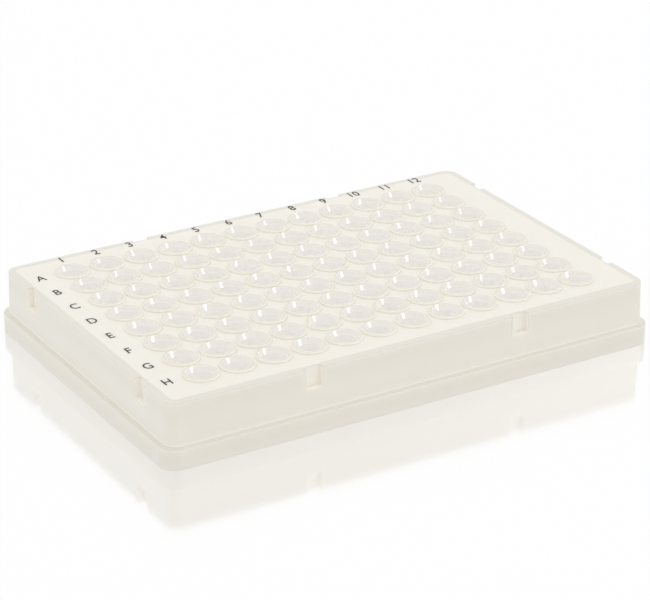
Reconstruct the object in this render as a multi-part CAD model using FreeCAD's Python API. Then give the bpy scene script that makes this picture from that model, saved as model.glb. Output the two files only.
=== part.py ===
import FreeCAD, Part
import math
import os

# A moulded 96-well plate with a full skirt, in one piece.
# Millimetres. The origin is the centre of the footprint, on the surface the plate stands on.
# +X runs along a row from column 1 to column 12, +Y from row H to row A, +Z up.

# Well grid
COLUMNS = 12
ROWS = 8
WELL_PITCH = 9.0
END_MARGIN = 14.38            # from the centre of a first-column well to the end of the footprint
SIDE_MARGIN = 11.24           # from the centre of a first-row well to the side of the footprint

# Flange, the wide band that the plate stands on
FLANGE_CORNER_RADIUS = 4.0
FLANGE_WALL = 1.3
SHOULDER_TOP = 4.75
SHOULDER_WIDTH = 1.15         # how far the flange stands out past the wall
SHOULDER_ROUND = 0.25         # radius of its top edge

# Wall above the flange
WALL_THICKNESS = 1.2
WALL_DRAFT = 0.24             # how far the wall leans in over its height
WALL_CORNER_RADIUS = 3.2
WALL_TOP = 15.05

# Deck
DECK_RISE = 0.1               # height of the shallow bevel round the deck
DECK_BEVEL = 1.85             # width of that bevel, in plan
DECK_CORNER_RADIUS = 3.0
DECK_THICKNESS = 1.2

# Well mouth
RIM_GAP = 0.6                 # deck left between two neighbouring rims
RIM_WIDTH = 0.8               # from the mouth's edge to the outside of the rim
RIM_HEIGHT = 0.5              # over the deck
RIM_ROUND = 0.45              # radius of the rim's outer edge
LEAD_IN_DEPTH = 1.2

# Well tube, by its inside radii
THROAT_RADIUS = 2.8           # at the foot of the lead-in
WAIST_RADIUS = 2.7            # where the slight taper under the lead-in turns into the cone
WAIST_DEPTH = 3.0             # from the foot of the lead-in to there
TIP_RADIUS = 1.45             # of the rounded tip that the cone narrows to
TUBE_WALL = 0.5
TUBE_CLEARANCE = 1.0          # from the tube's tip to the surface the plate stands on

# Pockets, two in each side, open at the deck
POCKET_OFFSET = 27.0          # from the middle of a pair
END_PAIR_SHIFT = 0.9          # from the middle of a short side to its pair's, turned half round at the other
POCKET_WIDTH = 4.0
POCKET_DEPTH = 1.3
POCKET_HEIGHT = 4.55

# Worked out from the sizes above
OVERRUN = 1.0                 # how far a cutting solid runs past the face it opens
HALF_LENGTH = (COLUMNS - 1) * WELL_PITCH / 2 + END_MARGIN
HALF_WIDTH = (ROWS - 1) * WELL_PITCH / 2 + SIDE_MARGIN
DECK_TOP = WALL_TOP + DECK_RISE
DECK_UNDERSIDE = DECK_TOP - DECK_THICKNESS
RIM_RADIUS = (WELL_PITCH - RIM_GAP) / 2
MOUTH_RADIUS = RIM_RADIUS - RIM_WIDTH
RIM_TOP = DECK_TOP + RIM_HEIGHT
LEAD_IN_BOTTOM = RIM_TOP - LEAD_IN_DEPTH
WAIST = LEAD_IN_BOTTOM - WAIST_DEPTH
TIP_CENTRE = TUBE_CLEARANCE + TUBE_WALL + TIP_RADIUS


def rounded_outline(inset, corner_radius, height):
    """Closed wire: the footprint drawn in by inset, with rounded corners, at a height."""
    x = HALF_LENGTH - inset - corner_radius
    y = HALF_WIDTH - inset - corner_radius
    corners = []
    for side_x, side_y, start in ((1, 1, 0), (-1, 1, 90), (-1, -1, 180), (1, -1, 270)):
        centre = FreeCAD.Vector(side_x * x, side_y * y, height)
        circle = Part.Circle(centre, FreeCAD.Vector(0, 0, 1), corner_radius)
        corners.append(Part.Arc(circle, math.radians(start), math.radians(start + 90)).toShape())
    outline = []
    for corner, following in zip(corners, corners[1:] + corners[:1]):
        side_start = corner.valueAt(corner.LastParameter)
        side_end = following.valueAt(following.FirstParameter)
        outline.append(corner)
        outline.append(Part.LineSegment(side_start, side_end).toShape())
    return Part.Wire(outline)


def block(sections):
    """Solid through outlines given as (inset, corner radius, height), straight between each two."""
    return Part.makeLoft([rounded_outline(*section) for section in sections], True, True)


def wall_inset(height):
    """How far the wall's outer face stands in from the footprint at a height."""
    share = (height - SHOULDER_TOP) / (WALL_TOP - SHOULDER_TOP)
    return SHOULDER_WIDTH + WALL_DRAFT * share


def flange():
    """The band that the plate stands on, its top edge rounded."""
    outline = rounded_outline(0, FLANGE_CORNER_RADIUS, 0)
    slab = Part.Face(outline).extrude(FreeCAD.Vector(0, 0, SHOULDER_TOP))
    top_edges = [edge for edge in slab.Edges if edge.BoundBox.ZMin > SHOULDER_TOP / 2]
    return slab.makeFillet(SHOULDER_ROUND, top_edges)


def outer_form():
    """The plate's outside: flange, drafted wall and bevelled deck."""
    wall = block([
        (wall_inset(0), WALL_CORNER_RADIUS, 0),
        (wall_inset(WALL_TOP), WALL_CORNER_RADIUS, WALL_TOP),
        (wall_inset(WALL_TOP) + DECK_BEVEL, DECK_CORNER_RADIUS, DECK_TOP),
    ])
    return flange().fuse(wall)


def cavity():
    """The hollow under the deck, wide inside the flange and drafted inside the wall."""
    ledge = SHOULDER_TOP - WALL_THICKNESS
    lower = block([
        (FLANGE_WALL, FLANGE_CORNER_RADIUS - FLANGE_WALL, -OVERRUN),
        (FLANGE_WALL, FLANGE_CORNER_RADIUS - FLANGE_WALL, ledge),
    ])
    inner_radius = WALL_CORNER_RADIUS - WALL_THICKNESS
    upper = block([
        (wall_inset(ledge) + WALL_THICKNESS, inner_radius, ledge - OVERRUN),
        (wall_inset(DECK_UNDERSIDE) + WALL_THICKNESS, inner_radius, DECK_UNDERSIDE),
    ])
    return lower.fuse(upper).removeSplitter()


def pocket_blocks(depth, side_margin, bottom):
    """A block at each pocket, reaching depth in from the wall's top edge and side_margin past its sides."""
    inset = wall_inset(WALL_TOP) + depth
    width = POCKET_WIDTH + 2 * side_margin
    height = DECK_TOP + OVERRUN - bottom
    blocks = []
    end_side = HALF_LENGTH, END_PAIR_SHIFT
    long_side = HALF_WIDTH, 0
    for turn, (half_size, shift) in ((0, end_side), (90, long_side), (180, end_side), (270, long_side)):
        for offset in (shift - POCKET_OFFSET, shift + POCKET_OFFSET):
            corner = FreeCAD.Vector(half_size - inset, offset - width / 2, bottom)
            pocket = Part.makeBox(inset + OVERRUN, width, height, corner)
            pocket.rotate(FreeCAD.Vector(0, 0, 0), FreeCAD.Vector(0, 0, 1), turn)
            blocks.append(pocket)
    return Part.makeCompound(blocks)


def shell():
    """Flange, wall and deck, with the pockets and the wall that backs each of them."""
    pocket_bottom = WALL_TOP - POCKET_HEIGHT
    pockets = pocket_blocks(POCKET_DEPTH, 0, pocket_bottom)
    backing = pocket_blocks(POCKET_DEPTH + WALL_THICKNESS, WALL_THICKNESS,
                            pocket_bottom - WALL_THICKNESS)
    return outer_form().cut(cavity().cut(backing)).cut(pockets)


def point(radius, height):
    """Point in the XZ plane, where the well profiles are drawn."""
    return FreeCAD.Vector(radius, 0, height)


def line_path(*points):
    """Straight edges through (radius, height) points."""
    corners = [point(*each) for each in points]
    return [Part.LineSegment(a, b).toShape() for a, b in zip(corners, corners[1:])]


def tip_arc(radius):
    """Quarter circle from the axis up to the widest part of a rounded tip."""
    slant = radius * math.sqrt(0.5)
    return Part.Arc(point(0, TIP_CENTRE - radius), point(slant, TIP_CENTRE - slant),
                    point(radius, TIP_CENTRE)).toShape()


def rim_arc():
    """Quarter circle over the rim's outer edge."""
    centre = RIM_RADIUS - RIM_ROUND, RIM_TOP - RIM_ROUND
    slant = RIM_ROUND * math.sqrt(0.5)
    return Part.Arc(point(RIM_RADIUS, centre[1]), point(centre[0] + slant, centre[1] + slant),
                    point(centre[0], RIM_TOP)).toShape()


def revolved(edges, top):
    """Solid of revolution from edges that start on the axis, closed across the top at a height."""
    outer_end = edges[-1].valueAt(edges[-1].LastParameter)
    start = edges[0].valueAt(edges[0].FirstParameter)
    closing = line_path((outer_end.x, outer_end.z), (0, top), (0, start.z))
    face = Part.Face(Part.Wire(edges + closing))
    return face.revolve(FreeCAD.Vector(0, 0, 0), FreeCAD.Vector(0, 0, 1), 360)


def tube():
    """One closed tube with the rim round its mouth, not yet hollow."""
    tip = TIP_RADIUS + TUBE_WALL
    inside_deck = DECK_TOP - DECK_THICKNESS / 2
    body = line_path((tip, TIP_CENTRE), (WAIST_RADIUS + TUBE_WALL, WAIST),
                     (THROAT_RADIUS + TUBE_WALL, inside_deck), (RIM_RADIUS, inside_deck),
                     (RIM_RADIUS, RIM_TOP - RIM_ROUND))
    return revolved([tip_arc(tip)] + body + [rim_arc()], RIM_TOP)


def bore():
    """The space inside one well, run out past its mouth."""
    sides = line_path((TIP_RADIUS, TIP_CENTRE), (WAIST_RADIUS, WAIST), (THROAT_RADIUS, LEAD_IN_BOTTOM),
                      (MOUTH_RADIUS, RIM_TOP), (MOUTH_RADIUS, RIM_TOP + OVERRUN))
    return revolved([tip_arc(TIP_RADIUS)] + sides, RIM_TOP + OVERRUN)


def at_each_well(shape):
    """Copies of a shape, one on the axis of each well."""
    copies = []
    for row in range(ROWS):
        for column in range(COLUMNS):
            x = (column - (COLUMNS - 1) / 2) * WELL_PITCH
            y = (row - (ROWS - 1) / 2) * WELL_PITCH
            copies.append(shape.translated(FreeCAD.Vector(x, y, 0)))
    return copies


def well_plate():
    """The whole moulding."""
    return shell().fuse(at_each_well(tube())).cut(at_each_well(bore()))


def main():
    os.makedirs("parts", exist_ok=True)
    plate = well_plate()
    plate.exportStep("parts/well_plate.step")
    box = plate.optimalBoundingBox(True, False)
    print("valid", plate.isValid(), "solids", len(plate.Solids), "volume mm3", round(plate.Volume, 1))
    print("size mm", round(box.XLength, 3), round(box.YLength, 3), round(box.ZLength, 3))


main()
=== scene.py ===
# %% [markdown]
# # A 96-well plate
# A well plate is one moulding: a thin deck carries closed conical tubes in a 9 mm grid, and a wall
# and a wide flange hold the deck up off the bench. The construction is done and arrives as one
# solid. What is left is what the eye reads: milky plastic, the printed grid references, a
# pale studio and a camera.

# %% Load the solid
import math

import bmesh
import bpy
from mathutils import Matrix, Vector


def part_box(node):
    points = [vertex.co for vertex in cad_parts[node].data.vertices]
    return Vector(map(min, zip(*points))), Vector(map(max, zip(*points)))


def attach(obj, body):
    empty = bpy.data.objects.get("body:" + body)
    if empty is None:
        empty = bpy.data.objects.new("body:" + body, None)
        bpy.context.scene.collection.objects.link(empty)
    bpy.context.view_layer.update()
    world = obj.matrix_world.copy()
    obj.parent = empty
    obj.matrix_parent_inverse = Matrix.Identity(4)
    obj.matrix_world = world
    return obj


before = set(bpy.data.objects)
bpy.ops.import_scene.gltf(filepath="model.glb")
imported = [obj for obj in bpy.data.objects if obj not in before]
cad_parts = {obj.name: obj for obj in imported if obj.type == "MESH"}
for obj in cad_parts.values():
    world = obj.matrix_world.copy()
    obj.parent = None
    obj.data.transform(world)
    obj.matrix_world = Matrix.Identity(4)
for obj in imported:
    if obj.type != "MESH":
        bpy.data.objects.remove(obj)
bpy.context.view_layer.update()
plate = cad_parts["well_plate"]
low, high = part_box("well_plate")
print("plate, mm:", [round((high[i] - low[i]) * 1000, 2) for i in range(3)])

# %% [markdown]
# Every place below comes from the solid's own box and from a few sizes of the moulding. The 9 mm grid
# is the same on all plates of this kind. Blender works in metres, so a small constant turns
# millimetres into them.

# %% Sizes
MM = 0.001
WELL_PITCH = 9 * MM
ROWS = "ABCDEFGH"
COLUMNS = 12
RIM_HEIGHT = 0.5 * MM
MOUTH_RADIUS = 3.4 * MM
deck_top = high.z - RIM_HEIGHT
first_x = -(COLUMNS - 1) / 2 * WELL_PITCH
first_y = (len(ROWS) - 1) / 2 * WELL_PITCH
print("deck at", round(deck_top / MM, 2), "mm; first well at", round(first_x / MM, 1), round(first_y / MM, 1))


# %% Colour and node helpers
def colour(code):
    """An sRGB hex code as the linear colour that a shader takes."""
    channels = [int(code[i:i + 2], 16) / 255 for i in (1, 3, 5)]
    return [c / 12.92 if c <= 0.04045 else ((c + 0.055) / 1.055) ** 2.4 for c in channels] + [1]


def add_node(tree, kind, settings=None, inputs=None, links=None):
    """Adds one node: settings are its properties, inputs its values, links its incoming sockets."""
    node = tree.nodes.new(kind)
    for name, value in (settings or {}).items():
        setattr(node, name, value)
    for name, value in (inputs or {}).items():
        node.inputs[name].default_value = value
    for name, source in (links or {}).items():
        tree.links.new(source, node.inputs[name])
    return node


def new_material(name):
    """An empty node material with its output node."""
    material = bpy.data.materials.new(name)
    material.use_nodes = True
    material.node_tree.nodes.clear()
    return material, add_node(material.node_tree, "ShaderNodeOutputMaterial")


# %% [markdown]
# ## Natural polypropylene
# The plate is injection moulded from polypropylene with no pigment. It isn't white paint and it
# isn't glass: light goes in, wanders about a millimetre between two turns and comes out again, which
# softens every shadow. One flat colour with a gloss would look like chalk. Subsurface scattering
# does part of what the real light does; the rest is painted into the colour by place. Painted shade
# darkens the rims, the bevel over the wall, the ledge, the wall's corners, the strips beside the
# pockets and the wells' mouths; painted light makes the lower wall, its foot, the pockets' insides
# and the deep tubes paler. The flange's top edge is a darker line. The moulding is regular, so
# coordinates say where a spot is, and no image texture is needed.


# %% Masks: 1 at a place on the plate, 0 elsewhere
def band(tree, value, start, end):
    """0 before start, 1 past end, and a soft step between them. It falls where start is the greater."""
    return add_node(tree, "ShaderNodeMapRange", {"interpolation_type": "SMOOTHSTEP"},
                    {"From Min": start, "From Max": end}, {"Value": value}).outputs["Result"]


def near(tree, value, middle, reach):
    """1 within reach of the middle, 0 past it."""
    offset = add_node(tree, "ShaderNodeMath", {"operation": "SUBTRACT"}, {1: middle}, {0: value})
    distance = add_node(tree, "ShaderNodeMath", {"operation": "ABSOLUTE"}, None, {0: offset.outputs[0]})
    return band(tree, distance.outputs[0], reach + 0.1 * MM, reach)


def product(tree, *masks):
    """The masks multiplied together: 1 only where all of them are."""
    result = masks[0]
    for mask in masks[1:]:
        result = add_node(tree, "ShaderNodeMath", {"operation": "MULTIPLY"}, None,
                          {0: result, 1: mask}).outputs[0]
    return result


def total(tree, *shares):
    """The sum of (mask, share) pairs."""
    result = None
    for mask, share in shares:
        step = add_node(tree, "ShaderNodeMath", {"operation": "MULTIPLY_ADD"}, {1: share, 2: 0}, {0: mask})
        if result:
            tree.links.new(result, step.inputs[2])
        result = step.outputs[0]
    return result


# %% How far a spot is from the nearest well's axis
def distance_from_well_axis(tree, position):
    """Snaps to a cell of the grid, takes its middle, and keeps that within the outermost wells."""
    half = WELL_PITCH / 2
    cell = add_node(tree, "ShaderNodeVectorMath", {"operation": "SNAP"},
                    {1: (WELL_PITCH, WELL_PITCH, 1)}, {0: position})
    axis = add_node(tree, "ShaderNodeVectorMath", {"operation": "ADD"},
                    {1: (half, half, 0)}, {0: cell.outputs[0]})
    for operation, side in (("MAXIMUM", 1), ("MINIMUM", -1)):
        axis = add_node(tree, "ShaderNodeVectorMath", {"operation": operation},
                        {1: (side * first_x, -side * first_y, 0)}, {0: axis.outputs[0]})
    offset = add_node(tree, "ShaderNodeVectorMath", {"operation": "SUBTRACT"}, None,
                      {0: position, 1: axis.outputs[0]})
    flat = add_node(tree, "ShaderNodeVectorMath", {"operation": "MULTIPLY"},
                    {1: (1, 1, 0)}, {0: offset.outputs[0]})
    return add_node(tree, "ShaderNodeVectorMath", {"operation": "LENGTH"}, None,
                    {0: flat.outputs[0]}).outputs["Value"]


# %% How far out a spot is, round the corners too
CORE_INSET = 4.5 * MM         # from the footprint to the rectangle that distances are taken from


def distance_from_core(tree, unsigned):
    """How far a spot is outside a rectangle drawn CORE_INSET inside the footprint."""
    outside = add_node(tree, "ShaderNodeVectorMath", {"operation": "SUBTRACT"},
                       {1: (high.x - CORE_INSET, high.y - CORE_INSET, 1)}, {0: unsigned})
    clipped = add_node(tree, "ShaderNodeVectorMath", {"operation": "MAXIMUM"},
                       {1: (0, 0, 0)}, {0: outside.outputs[0]})
    return add_node(tree, "ShaderNodeVectorMath", {"operation": "LENGTH"}, None,
                    {0: clipped.outputs[0]}).outputs["Value"]


# %% [markdown]
# ### Tones
# Each place has a tone, and the tones are added up: 0 is the palest plastic and 1 the darkest. Most
# positive tones beyond the plastic's own are painted shade, and a negative tone is painted light, which
# makes a place paler than its surroundings. Masks for the same place are kept with their tones, so
# that one function describes one feature of the moulding.

# %% Rims and the deck's bevel
# Painted shade on each rim's flat top and, a little, on its rounded side
LIP_SHADE_TONE = 0.55
LIP_SIDE_SHADE_TONE = 0.05
LIP_FULL = 0.45 * MM          # from the mouth to where the rim's flat top begins to round over
LIP_END = 0.65 * MM
# Painted shade on the bevel over the wall
BEVEL_SHADE_TONE = 0.4
BEVEL_INSET = 3.2 * MM        # from the footprint to the inner edge of the bevel


def rims(tree, from_axis, height, outside_well):
    """Painted shade on the flat top of each rim, and a little on its rounded side."""
    inner = band(tree, from_axis, MOUTH_RADIUS + LIP_END, MOUTH_RADIUS + LIP_FULL)
    outer = band(tree, from_axis, MOUTH_RADIUS + LIP_FULL, MOUTH_RADIUS + LIP_END)
    on_rim = band(tree, height, deck_top + 0.2 * MM, deck_top + 0.3 * MM)
    over_deck = band(tree, height, deck_top, deck_top + 0.1 * MM)
    return [(product(tree, outside_well, inner, on_rim), LIP_SHADE_TONE),
            (product(tree, outer, over_deck), LIP_SIDE_SHADE_TONE)]


def deck_bevel(tree, from_core, height):
    """The shallow slope along the deck's edge, over the wall, where shade is painted."""
    line = CORE_INSET - BEVEL_INSET
    return product(tree, band(tree, from_core, line - 0.2 * MM, line + 0.2 * MM),
                   band(tree, height, deck_top - 0.4 * MM, deck_top - 0.1 * MM))


# %% Flange
# A darker line along the flange's top edge; painted shade on the ledge, which the overhead lamp lights
FLANGE_EDGE_TONE = 0.1
LEDGE_SHADE_TONE = 0.3
FLANGE_TOP = 4.75 * MM
WALL_INSET = 1.4 * MM         # from the footprint to the wall's top edge


def flange(tree, from_core, height):
    """A darker line along the flange's top edge, and painted shade on the ledge between it and the wall."""
    at_edge = band(tree, from_core, CORE_INSET - 0.6 * MM, CORE_INSET - 0.4 * MM)
    edge_bottom = band(tree, height, FLANGE_TOP - 0.3 * MM, FLANGE_TOP - 0.15 * MM)
    edge_top = band(tree, height, FLANGE_TOP + 0.1 * MM, FLANGE_TOP)
    wall_line = CORE_INSET - WALL_INSET
    past_wall = band(tree, from_core, wall_line, wall_line + 0.4 * MM)
    on_ledge = near(tree, height, FLANGE_TOP, 0.05 * MM)
    return [(product(tree, at_edge, edge_bottom, edge_top), FLANGE_EDGE_TONE),
            (product(tree, past_wall, on_ledge), LEDGE_SHADE_TONE)]


# %% Wall
# Painted shade at the wall's corners; painted light on its lower part and along its foot
CORNER_SHADE_TONE = 0.08
CORNER_START = 4.5 * MM       # from the footprint to where the wall begins to turn
CORNER_FULL = 2.5 * MM
LOW_WALL_LIGHT_TONE = -0.12
LOW_WALL_START = 14.5 * MM    # painted light: the wall grows paler from here down
LOW_WALL_FULL = 8 * MM
WALL_FOOT_LIGHT_TONE = -0.3


def wall(tree, across, height, outside_well):
    """Painted shade at the wall's corners, and painted light on its lower part and on the strip along its
    foot, as if the ledge lit it.
    """
    corner = product(tree, band(tree, across["X"], high.x - CORNER_START, high.x - CORNER_FULL),
                     band(tree, across["Y"], high.y - CORNER_START, high.y - CORNER_FULL),
                     band(tree, height, deck_top - 1 * MM, deck_top - 3 * MM))
    low_wall = product(tree, outside_well, band(tree, height, FLANGE_TOP, FLANGE_TOP + 0.2 * MM),
                       band(tree, height, LOW_WALL_START, LOW_WALL_FULL))
    foot = product(tree, outside_well, band(tree, height, FLANGE_TOP - 0.05 * MM, FLANGE_TOP + 0.05 * MM),
                   band(tree, height, FLANGE_TOP + 0.9 * MM, FLANGE_TOP + 0.2 * MM))
    return [(corner, CORNER_SHADE_TONE), (low_wall, LOW_WALL_LIGHT_TONE), (foot, WALL_FOOT_LIGHT_TONE)]


# %% Pockets
# Painted light makes each pocket's inside paler; painted shade darkens a strip beside it, where the inner
# corner shows through the wall
POCKET_LIGHT_TONE = -0.25
POCKET_EDGE_SHADE_TONE = 0.2
POCKET_OFFSET = 27.0 * MM     # from the middle of a pair
END_PAIR_SHIFT = 0.9 * MM     # the short sides' pairs stand off the middle, opposite ways
POCKET_HALF = 2.0 * MM
POCKET_EDGE = 0.4 * MM        # how wide the strip of painted shade beside a pocket is
POCKET_INSET = 2.7 * MM       # from the footprint to the pocket's back
POCKET_DROP = 4.65 * MM       # from the deck down to the bottom of a pocket
pocket_bottom = deck_top - POCKET_DROP
print("pockets reach down to", round(pocket_bottom / MM, 2), "mm")


def along_end(tree, position):
    """How far a spot on a short side is from the middle of that side's two pockets."""
    signed = add_node(tree, "ShaderNodeSeparateXYZ", None, None, {0: position}).outputs
    side = add_node(tree, "ShaderNodeMath", {"operation": "SIGN"}, None, {0: signed["X"]})
    shifted = add_node(tree, "ShaderNodeMath", {"operation": "MULTIPLY_ADD"}, {1: -END_PAIR_SHIFT},
                       {0: side.outputs[0], 2: signed["Y"]})
    unsigned = add_node(tree, "ShaderNodeMath", {"operation": "ABSOLUTE"}, None, {0: shifted.outputs[0]})
    return unsigned.outputs[0]


def pockets(tree, position, across, height):
    """Painted light in the pockets' insides, and painted shade on the strips beside them: in the long sides,
    then the short ones.
    """
    over_bottom = band(tree, height, pocket_bottom - 0.1 * MM, pocket_bottom + 0.05 * MM)
    long_side = across["X"], across["Y"], high.y
    short_side = along_end(tree, position), across["X"], high.x
    insides, strips = [], []
    for along, inward, half in (long_side, short_side):
        at_wall = band(tree, inward, half - POCKET_INSET - 0.05 * MM, half - POCKET_INSET)
        in_line = near(tree, along, POCKET_OFFSET, POCKET_HALF)
        with_strip = near(tree, along, POCKET_OFFSET, POCKET_HALF + POCKET_EDGE)
        strip = add_node(tree, "ShaderNodeMath", {"operation": "SUBTRACT"}, None, {0: with_strip, 1: in_line})
        insides.append((product(tree, in_line, at_wall, over_bottom), POCKET_LIGHT_TONE))
        strips.append((product(tree, strip.outputs[0], at_wall, over_bottom), POCKET_EDGE_SHADE_TONE))
    return insides, strips


# %% Colour
# The two ends of the tone ramp: the plastic's own colour lies between them, painted light pulls towards the
# pale end and painted shade towards the dark one
PALE_PLASTIC_AND_PAINTED_LIGHT = colour("#FAF6ED")
DARK_PLASTIC_AND_PAINTED_SHADE = colour("#DAD6CC")
# Inside the wells: painted shade on the mouth, painted light deeper in the tube
MOUTH_PLASTIC_PAINTED_SHADE = colour("#F4F0EA")
TUBE_PLASTIC_PAINTED_LIGHT = colour("#FFFEFC")
LEAD_IN_DEPTH = 1.2 * MM
lead_in_foot = high.z - LEAD_IN_DEPTH


def plastic_colour(tree, tone, height, outside_well):
    """By tone outside the wells. Inside them painted shade darkens the mouth and painted light makes the tube
    paler, so it grows paler from the mouth to the tube.
    """
    outer = add_node(tree, "ShaderNodeValToRGB", None, None, {0: tone})
    outer.color_ramp.elements[0].color = PALE_PLASTIC_AND_PAINTED_LIGHT
    outer.color_ramp.elements[1].color = DARK_PLASTIC_AND_PAINTED_SHADE
    at_mouth = band(tree, height, lead_in_foot - 0.5 * MM, lead_in_foot + 0.5 * MM)
    inner = add_node(tree, "ShaderNodeMix", {"data_type": "RGBA"}, {6: TUBE_PLASTIC_PAINTED_LIGHT, 7: MOUTH_PLASTIC_PAINTED_SHADE},
                     {0: at_mouth})
    return add_node(tree, "ShaderNodeMix", {"data_type": "RGBA"}, None,
                    {0: outside_well, 6: inner.outputs[2], 7: outer.outputs[0]}).outputs[2]


# %% [markdown]
# ### Where light can wander
# A random walk under the surface needs room. Near a sharp inner edge or in a thin tube the walk
# leaves the solid too soon and draws a dark line that the real plastic doesn't have. There the
# subsurface weight falls to 0 and the surface scatters light by itself.

# %% Bulk
FOOT_HEIGHT = 1.0 * MM        # of the strip along the flange's lower edge


def bulk_share(tree, height, outside_well, thin_places):
    """1 where light can wander inside; 0 in the wells, by the flange's crease and at thin places."""
    crease = product(tree, band(tree, height, FLANGE_TOP - 0.5 * MM, FLANGE_TOP - 0.1 * MM),
                     band(tree, height, FLANGE_TOP + 1.5 * MM, FLANGE_TOP + 0.8 * MM))
    foot = band(tree, height, 2 * FOOT_HEIGHT, FOOT_HEIGHT / 2)
    surface = total(tree, (crease, 1), (foot, 1), *[(place, 1) for place in thin_places])
    return add_node(tree, "ShaderNodeMath", {"operation": "SUBTRACT", "use_clamp": True}, None,
                    {0: outside_well, 1: surface}).outputs[0]


# %% Polypropylene, moulded: satin outside, polished inside the wells
BASE_TONE = 0.39
MEAN_PATH = 1.0 * MM          # how far light travels in the plastic between two turns
WELL_ROUGHNESS = 0.05         # the core pins that form the wells are polished, so the wells glint
OUTER_ROUGHNESS = 0.38


def natural_polypropylene():
    """Unpigmented polypropylene as it leaves the mould: milky, with a soft sheen."""
    material, output = new_material("natural_polypropylene_moulded")
    tree = material.node_tree
    position = add_node(tree, "ShaderNodeTexCoord").outputs["Object"]
    unsigned = add_node(tree, "ShaderNodeVectorMath", {"operation": "ABSOLUTE"}, None, {0: position})
    across = add_node(tree, "ShaderNodeSeparateXYZ", None, None, {0: unsigned.outputs[0]}).outputs
    height = across["Z"]
    from_axis = distance_from_well_axis(tree, position)
    from_core = distance_from_core(tree, unsigned.outputs[0])

    outside_well = band(tree, from_axis, MOUTH_RADIUS - 0.02 * MM, MOUTH_RADIUS + 0.04 * MM)
    bevel = deck_bevel(tree, from_core, height)
    in_pockets, beside_pockets = pockets(tree, position, across, height)
    tone = total(tree, (outside_well, BASE_TONE), *rims(tree, from_axis, height, outside_well),
                 (bevel, BEVEL_SHADE_TONE), *flange(tree, from_core, height),
                 *wall(tree, across, height, outside_well), *in_pockets, *beside_pockets)
    thin_places = [bevel] + [mask for mask, _ in in_pockets]
    roughness = add_node(tree, "ShaderNodeMapRange", None,
                         {"To Min": WELL_ROUGHNESS, "To Max": OUTER_ROUGHNESS}, {"Value": outside_well})
    body = add_node(tree, "ShaderNodeBsdfPrincipled", {"subsurface_method": "RANDOM_WALK"},
                    {"IOR": 1.49, "Subsurface Radius": (1, 1, 1), "Subsurface Scale": MEAN_PATH},
                    {"Base Color": plastic_colour(tree, tone, height, outside_well),
                     "Roughness": roughness.outputs["Result"],
                     "Subsurface Weight": bulk_share(tree, height, outside_well, thin_places)})
    tree.links.new(body.outputs[0], output.inputs["Surface"])
    return material


plate.data.materials.clear()
plate.data.materials.append(natural_polypropylene())
print("plate faces:", len(plate.data.polygons), "material nodes:",
      len(plate.data.materials[0].node_tree.nodes))

# %% [markdown]
# ## The printed references
# Rows are lettered down the left margin and columns numbered along the back one, in dark ink that a
# soft pad presses on the deck. The letters could be painted by an image or cut into the solid, but
# print lies on the surface and has crisp edges. Text objects give clean outlines. Each is made a
# mesh first, then scaled to its real height and laid on the deck, so that its place is in its mesh.

# %% Ink
INK_HEIGHT = 2.7 * MM         # of a capital letter
INK_WIDTH = 1.95 * MM         # of a capital H
INK_FILM = 0.02 * MM
STROKE_GAIN = 0.006           # how far the ink spreads past each stroke, in the font's units
LETTER_SPACING = 1.05
LETTER_X = -57.5 * MM
LETTER_SHIFT_Y = 0.4 * MM     # the letters stand a little off their rows, the numbers off their columns
NUMBER_Y = 39.3 * MM
NUMBER_SHIFT_X = 0.8 * MM


def pad_printing_ink():
    """Solvent ink, dried to a thin film: near black, warm, neither glossy nor dull."""
    material, output = new_material("pad_printing_ink")
    tree = material.node_tree
    shader = add_node(tree, "ShaderNodeBsdfPrincipled", None,
                      {"Base Color": colour("#2C2720"), "Roughness": 0.45, "IOR": 1.5})
    tree.links.new(shader.outputs[0], output.inputs["Surface"])
    return material


def glyph_mesh(text):
    """A word as a mesh one unit thick, in the font's own units."""
    curve = bpy.data.curves.new("glyph", "FONT")
    curve.body = text
    curve.offset = STROKE_GAIN
    curve.extrude = 0.5
    curve.space_character = LETTER_SPACING
    carrier = bpy.data.objects.new("glyph", curve)
    mesh = bpy.data.meshes.new_from_object(carrier)
    bpy.data.objects.remove(carrier)
    bpy.data.curves.remove(curve)
    return mesh


def span(mesh, axis):
    """The lowest and the highest place of a mesh along one axis."""
    values = [v.co[axis] for v in mesh.vertices]
    return min(values), max(values)


capital = glyph_mesh("H")
capital_left, capital_right = span(capital, 0)
capital_low, capital_high = span(capital, 1)
bpy.data.meshes.remove(capital)
to_real_size = Matrix.Diagonal((INK_WIDTH / (capital_right - capital_left),
                                INK_HEIGHT / (capital_high - capital_low), INK_FILM, 1))


def printed(name, words, material):
    """One piece of ink from (text, x, y) entries, each centred on its place."""
    ink = bmesh.new()
    for text, x, y in words:
        mesh = glyph_mesh(text)
        left, right = span(mesh, 0)
        to_middle = Matrix.Translation((-(left + right) / 2, -(capital_low + capital_high) / 2, 0))
        to_place = Matrix.Translation((x, y, deck_top + INK_FILM / 2))
        mesh.transform(to_place @ to_real_size @ to_middle)
        ink.from_mesh(mesh)
        bpy.data.meshes.remove(mesh)
    bmesh.ops.remove_doubles(ink, verts=ink.verts, dist=0.001 * MM)
    bmesh.ops.recalc_face_normals(ink, faces=ink.faces)
    mesh = bpy.data.meshes.new(name)
    ink.to_mesh(mesh)
    ink.free()
    mesh.materials.append(material)
    piece = bpy.data.objects.new(name, mesh)
    bpy.context.scene.collection.objects.link(piece)
    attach(piece, "root")
    return piece


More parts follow.
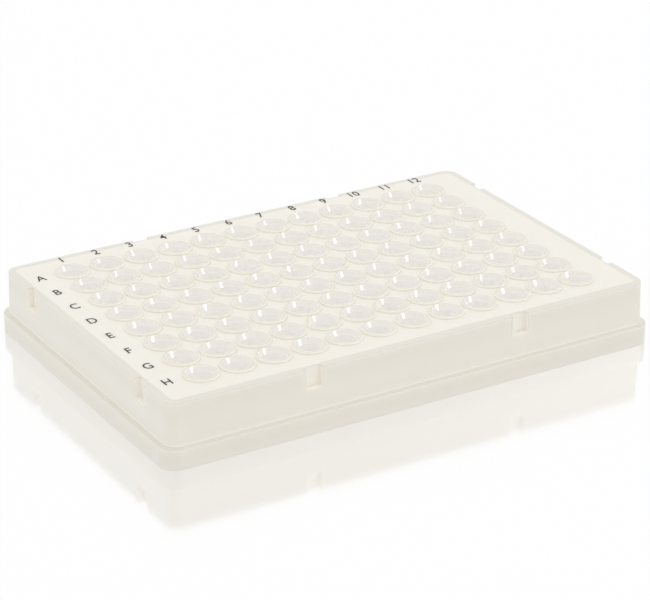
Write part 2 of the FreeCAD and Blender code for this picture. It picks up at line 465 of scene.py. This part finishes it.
ink = pad_printing_ink()
letters = [(letter, LETTER_X, first_y - i * WELL_PITCH + LETTER_SHIFT_Y) for i, letter in enumerate(ROWS)]
numbers = [(str(i + 1), first_x + i * WELL_PITCH + NUMBER_SHIFT_X, NUMBER_Y) for i in range(COLUMNS)]
row_letters = printed("row_letters", letters, ink)
column_numbers = printed("column_numbers", numbers, ink)
print("ink faces:", len(row_letters.data.polygons), len(column_numbers.data.polygons))

# %% [markdown]
# ## The studio
# The plate stands on a white acrylic sheet, which mirrors it faintly. A matt floor would take the
# plate's shadow but show no mirror image, and it would render a little grey. So the sheet is part
# matt white, which takes the shadow, part glow that only the camera and gloss see, and part mirror.
# The sheet and the room are white by colour: a strength of 1 is white, and no light is turned up
# for it.

# %% Floor
WHITE = colour("#FFFFFF")
FLOOR_SIZE = 6                # metres, past the edge of every view
FLOOR_GAP = 0.02 * MM         # under the plate, so that the two surfaces never share a plane
GLOW_SHARE = 0.8              # how much of the sheet looks lit from within, to the camera and in gloss
MIRROR_SHARE = 0.7            # how much of it mirrors, to the camera alone
MIRROR_ROUGHNESS = 0.11


def white_acrylic_sheet():
    """Cast acrylic, white all through, its face nearly polished: it gives a soft mirror image."""
    material, output = new_material("white_acrylic_sheet")
    tree = material.node_tree
    rays = add_node(tree, "ShaderNodeLightPath")
    seen = add_node(tree, "ShaderNodeMath", {"operation": "MAXIMUM"}, None,
                    {0: rays.outputs["Is Camera Ray"], 1: rays.outputs["Is Glossy Ray"]})
    glow_share = add_node(tree, "ShaderNodeMath", {"operation": "MULTIPLY"}, {1: GLOW_SHARE},
                          {0: seen.outputs[0]})
    matt = add_node(tree, "ShaderNodeBsdfDiffuse", None, {"Color": colour("#F2F2F2")})
    glow = add_node(tree, "ShaderNodeEmission", None, {"Color": WHITE, "Strength": 1})
    body = add_node(tree, "ShaderNodeMixShader", None, None,
                    {0: glow_share.outputs[0], 1: matt.outputs[0], 2: glow.outputs[0]})
    mirror = add_node(tree, "ShaderNodeBsdfAnisotropic", None,
                      {"Roughness": MIRROR_ROUGHNESS, "Color": WHITE})
    mirror_share = add_node(tree, "ShaderNodeMath", {"operation": "MULTIPLY"}, {1: MIRROR_SHARE},
                            {0: rays.outputs["Is Camera Ray"]})
    whole = add_node(tree, "ShaderNodeMixShader", None, None,
                     {0: mirror_share.outputs[0], 1: body.outputs[0], 2: mirror.outputs[0]})
    tree.links.new(whole.outputs[0], output.inputs["Surface"])
    return material


def studio_floor():
    """One flat square under the plate, which belongs to the studio."""
    sheet = bmesh.new()
    bmesh.ops.create_grid(sheet, x_segments=1, y_segments=1, size=FLOOR_SIZE / 2)
    bmesh.ops.translate(sheet, vec=(0, 0, low.z - FLOOR_GAP), verts=sheet.verts)
    mesh = bpy.data.meshes.new("floor")
    sheet.to_mesh(mesh)
    sheet.free()
    mesh.materials.append(white_acrylic_sheet())
    floor = bpy.data.objects.new("floor", mesh)
    bpy.context.scene.collection.objects.link(floor)
    return floor


print("floor, m:", [round(side, 2) for side in studio_floor().dimensions])

# %% World
ROOM_LIGHT = 0.92             # what the room sheds on things; it is seen, and mirrored, at 1
world = bpy.data.worlds.new("white_room")
bpy.context.scene.world = world
world.use_nodes = True
tree = world.node_tree
tree.nodes.clear()
rays = add_node(tree, "ShaderNodeLightPath")
seen = add_node(tree, "ShaderNodeMath", {"operation": "ADD", "use_clamp": True}, None,
                {0: rays.outputs["Is Camera Ray"], 1: rays.outputs["Is Glossy Ray"]})
strength = add_node(tree, "ShaderNodeMapRange", None, {"To Min": ROOM_LIGHT, "To Max": 1},
                    {"Value": seen.outputs[0]})
background = add_node(tree, "ShaderNodeBackground", None, {"Color": WHITE},
                      {"Strength": strength.outputs[0]})
tree.links.new(background.outputs[0], add_node(tree, "ShaderNodeOutputWorld").inputs["Surface"])


# %% Lamps
def towards(point, target):
    """Matrix that stands at a point and looks at a target."""
    turn = (Vector(target) - Vector(point)).to_track_quat("-Z", "Y")
    return Matrix.Translation(point) @ turn.to_matrix().to_4x4()


def softbox(name, point, width, height, watts):
    """A rectangular lamp at a point, aimed at the middle of the deck."""
    light = bpy.data.lights.new(name, "AREA")
    light.shape = "RECTANGLE"
    light.size = width
    light.size_y = height
    light.energy = watts
    lamp = bpy.data.objects.new(name, light)
    lamp.matrix_world = towards(point, (0, 0, deck_top))
    bpy.context.scene.collection.objects.link(lamp)
    return lamp


# Places and sizes of the lamps are in metres, their power in watts
softbox("overhead_softbox", (0.2, 0.05, 1.15), 1.2, 1.2, 2.15)

# A window that shows only in gloss: it makes the small highlight in each well
WINDOW_DIRECTION = math.radians(-43)
WINDOW_AWAY = 0.85
WINDOW_HEIGHT = 0.26
window_point = (WINDOW_AWAY * math.cos(WINDOW_DIRECTION), WINDOW_AWAY * math.sin(WINDOW_DIRECTION),
                WINDOW_HEIGHT)
window = softbox("window", window_point, 0.3, 0.2, 2.0)
window.visible_diffuse = False
print("lamps:", [light.name for light in bpy.data.lights])

# %% [markdown]
# ## The camera
# A plate reads best from one corner, high enough to see into the wells. A wide lens from close by
# would spread the rows like a fan. A long lens from the front left keeps them nearly parallel.

# %% Camera
SENSOR_WIDTH = 36             # mm
FOCAL_LENGTH = 144.5          # mm
AZIMUTH = math.radians(-30.94)
ELEVATION = math.radians(24.46)
DISTANCE = 595.5 * MM         # from the point that it aims at
AIM = Vector((-6.77 * MM, -11.96 * MM, 15.11 * MM))
ROLL = math.radians(0.15)

camera_data = bpy.data.cameras.new("camera")
camera_data.lens = FOCAL_LENGTH
camera_data.sensor_width = SENSOR_WIDTH
camera_data.clip_start = 10 * MM
camera_data.clip_end = 20
camera = bpy.data.objects.new("camera", camera_data)
bpy.context.scene.collection.objects.link(camera)
back_to_camera = Vector((math.sin(AZIMUTH) * math.cos(ELEVATION),
                         -math.cos(AZIMUTH) * math.cos(ELEVATION), math.sin(ELEVATION)))
camera.matrix_world = towards(AIM + back_to_camera * DISTANCE, AIM) @ Matrix.Rotation(ROLL, 4, "Z")
bpy.context.scene.camera = camera
print("camera at, m:", [round(part, 3) for part in camera.matrix_world.translation])

# Light bounces many times inside milky plastic, and between the tubes under the deck
bpy.context.scene.cycles.diffuse_bounces = 16
bpy.context.scene.cycles.max_bounces = 24
bpy.context.scene.view_settings.view_transform = "Standard"
